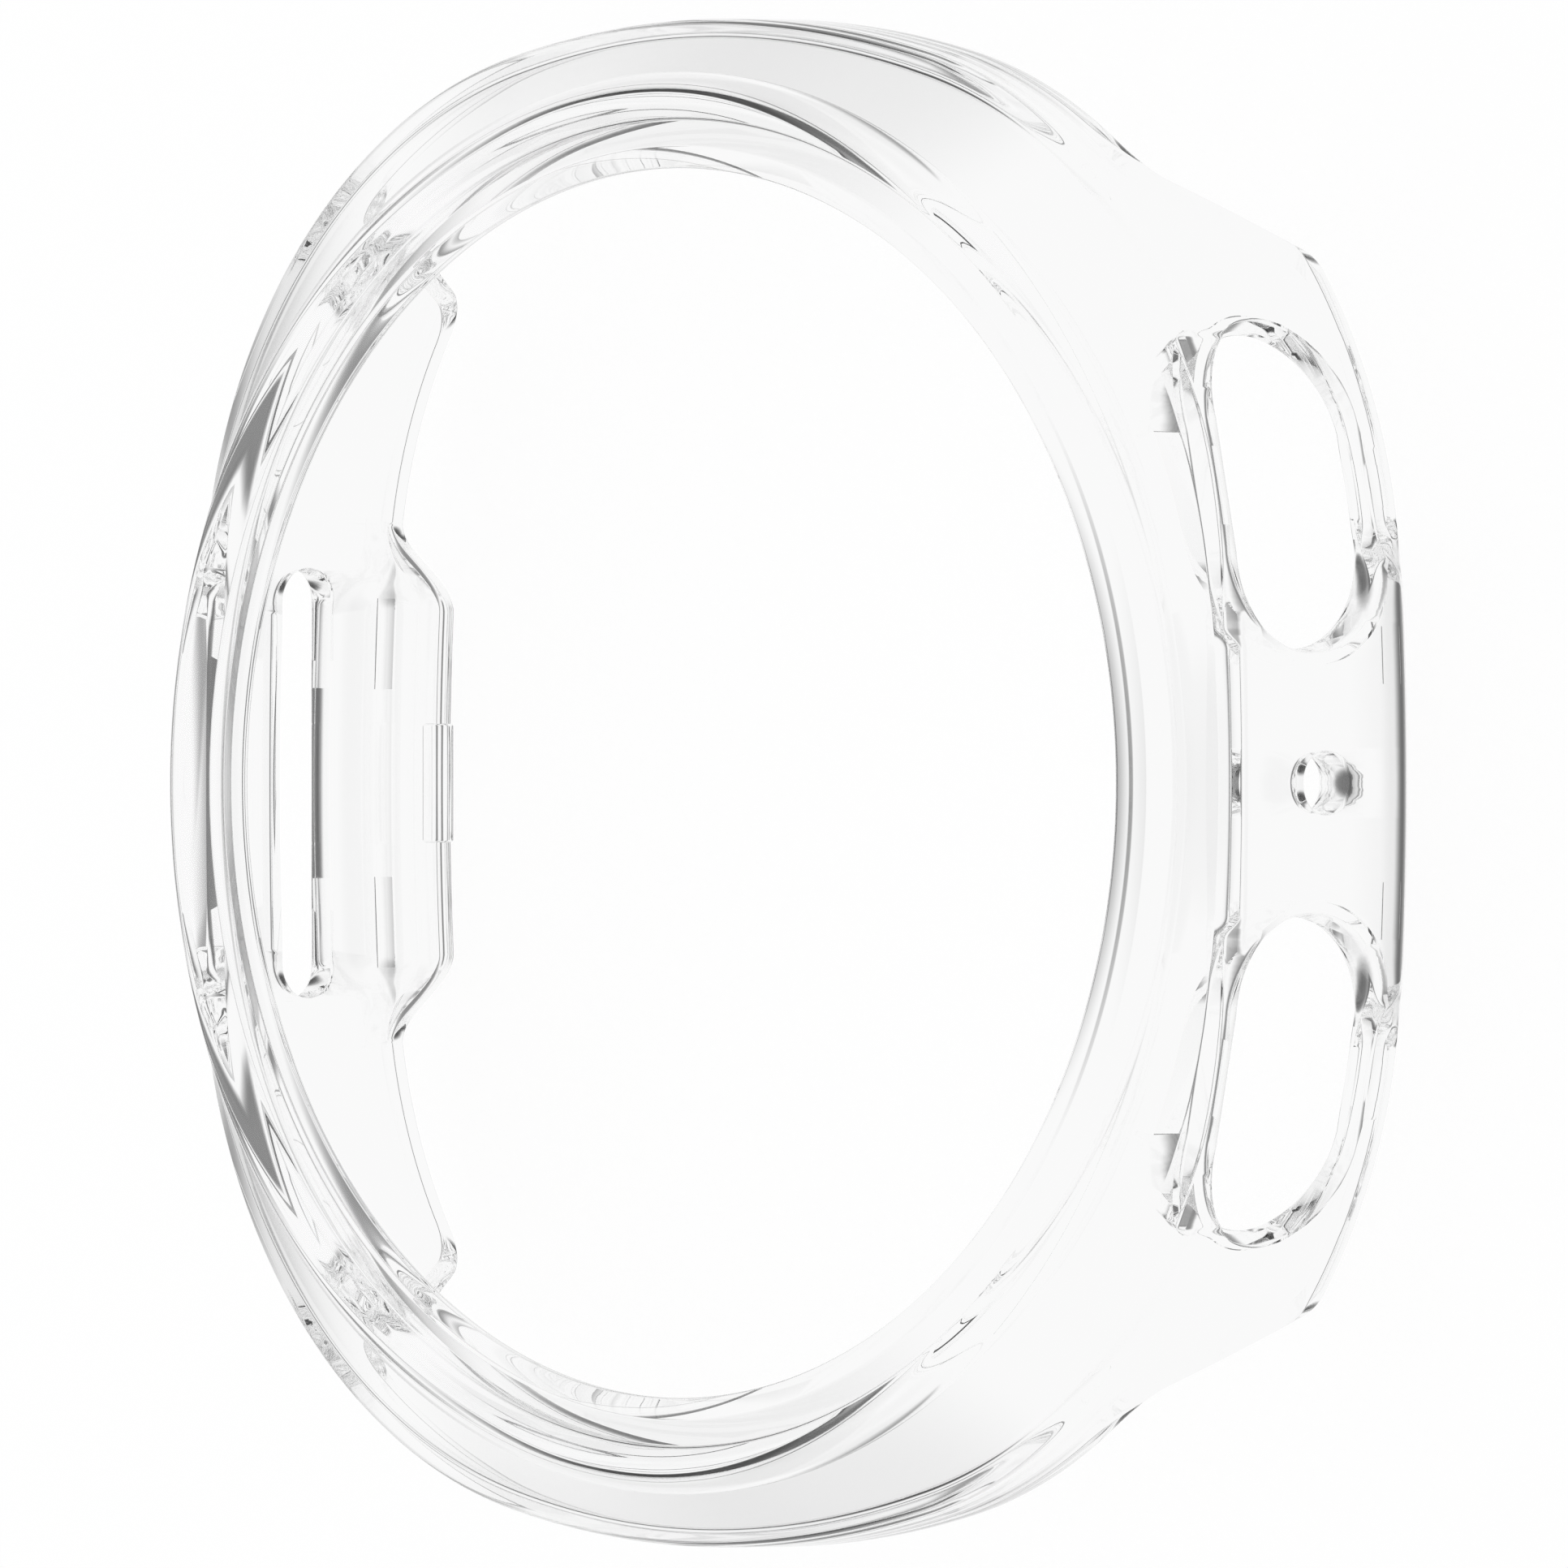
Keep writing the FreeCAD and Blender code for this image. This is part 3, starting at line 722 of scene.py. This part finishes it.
# Each dim place of the room: the way to it, how many degrees its middle and its edge lie from that
# way, and how much light is left in its middle.
DIM_PLACES = (
    ((0.09, 0.0, -1.0), 10, 29, 0.1),
    ((0.98, 0.0, -0.17), 12, 32, 0.05),
    ((-0.62, 0.7, 0.37), 10, 30, 0.0),
    ((-0.62, -0.7, 0.37), 10, 30, 0.0),
    ((-0.95, 0.2, -0.25), 6, 18, 0.2),
    ((-0.95, -0.2, -0.25), 6, 18, 0.2),
    ((-0.41, 0.91, -0.07), 6, 20, 0.1),
    ((-0.41, -0.91, -0.07), 6, 20, 0.1),
)
ROOM_LEVEL = 0.95
LIGHT_STEPS = 48

world = bpy.data.worlds.new("studio")
bpy.context.scene.world = world
world.use_nodes = True
nodes, links = world.node_tree.nodes, world.node_tree.links
background = nodes["Background"]
coords = nodes.new("ShaderNodeTexCoord")
room = nodes.new("ShaderNodeValue")
room.outputs[0].default_value = ROOM_LEVEL
room = room.outputs[0]
for direction, core, edge, level in DIM_PLACES:
    toward = nodes.new("ShaderNodeVectorMath")
    toward.operation = "DOT_PRODUCT"
    toward.inputs[1].default_value = Vector(direction).normalized()
    links.new(coords.outputs["Generated"], toward.inputs[0])
    fall = nodes.new("ShaderNodeMapRange")
    fall.interpolation_type = "SMOOTHSTEP"
    fall.inputs["From Min"].default_value = math.cos(math.radians(edge))
    fall.inputs["From Max"].default_value = math.cos(math.radians(core))
    fall.inputs["To Min"].default_value = 1.0
    fall.inputs["To Max"].default_value = level
    links.new(toward.outputs["Value"], fall.inputs["Value"])
    dimmed = nodes.new("ShaderNodeMath")
    dimmed.operation = "MULTIPLY"
    links.new(room, dimmed.inputs[0])
    links.new(fall.outputs["Result"], dimmed.inputs[1])
    room = dimmed.outputs[0]
path = nodes.new("ShaderNodeLightPath")
plain = either(world.node_tree, path.outputs["Is Camera Ray"], path.outputs["Is Diffuse Ray"])
pick = nodes.new("ShaderNodeMix")
pick.data_type = "FLOAT"
pick.inputs["B"].default_value = 1.0
links.new(plain, pick.inputs["Factor"])
links.new(room, pick.inputs["A"])
links.new(pick.outputs["Result"], background.inputs["Color"])
bpy.context.scene.view_settings.view_transform = "Standard"
cycles = bpy.context.scene.cycles
cycles.max_bounces = LIGHT_STEPS
cycles.transmission_bounces = LIGHT_STEPS
cycles.glossy_bounces = LIGHT_STEPS
cycles.transparent_max_bounces = LIGHT_STEPS

# The camera looks at the case from the front and the button side at once, from far away,
# so that the picture has almost no perspective.
LENS = 1500.0
SENSOR = 36.0
FRAME_WIDTH = 0.04967
NEAREST = 0.01
FARTHEST = 10.0
LOOK_AT = Vector((0.0, -0.00003, 0.00586))
TOWARDS = Vector((0.703, 0.0, 0.711)).normalized()
camera_data = bpy.data.cameras.new("camera")
camera_data.lens = LENS
camera_data.sensor_width = SENSOR
camera_data.clip_start = NEAREST
camera_data.clip_end = FARTHEST
camera = bpy.data.objects.new("camera", camera_data)
bpy.context.scene.collection.objects.link(camera)
up = Vector((0.0, 1.0, 0.0))
right = up.cross(TOWARDS).normalized()
turned = Matrix((right, up, TOWARDS)).transposed().to_4x4()
camera.matrix_world = Matrix.Translation(LOOK_AT + TOWARDS * (FRAME_WIDTH * LENS / SENSOR)) @ turned
bpy.context.scene.camera = camera
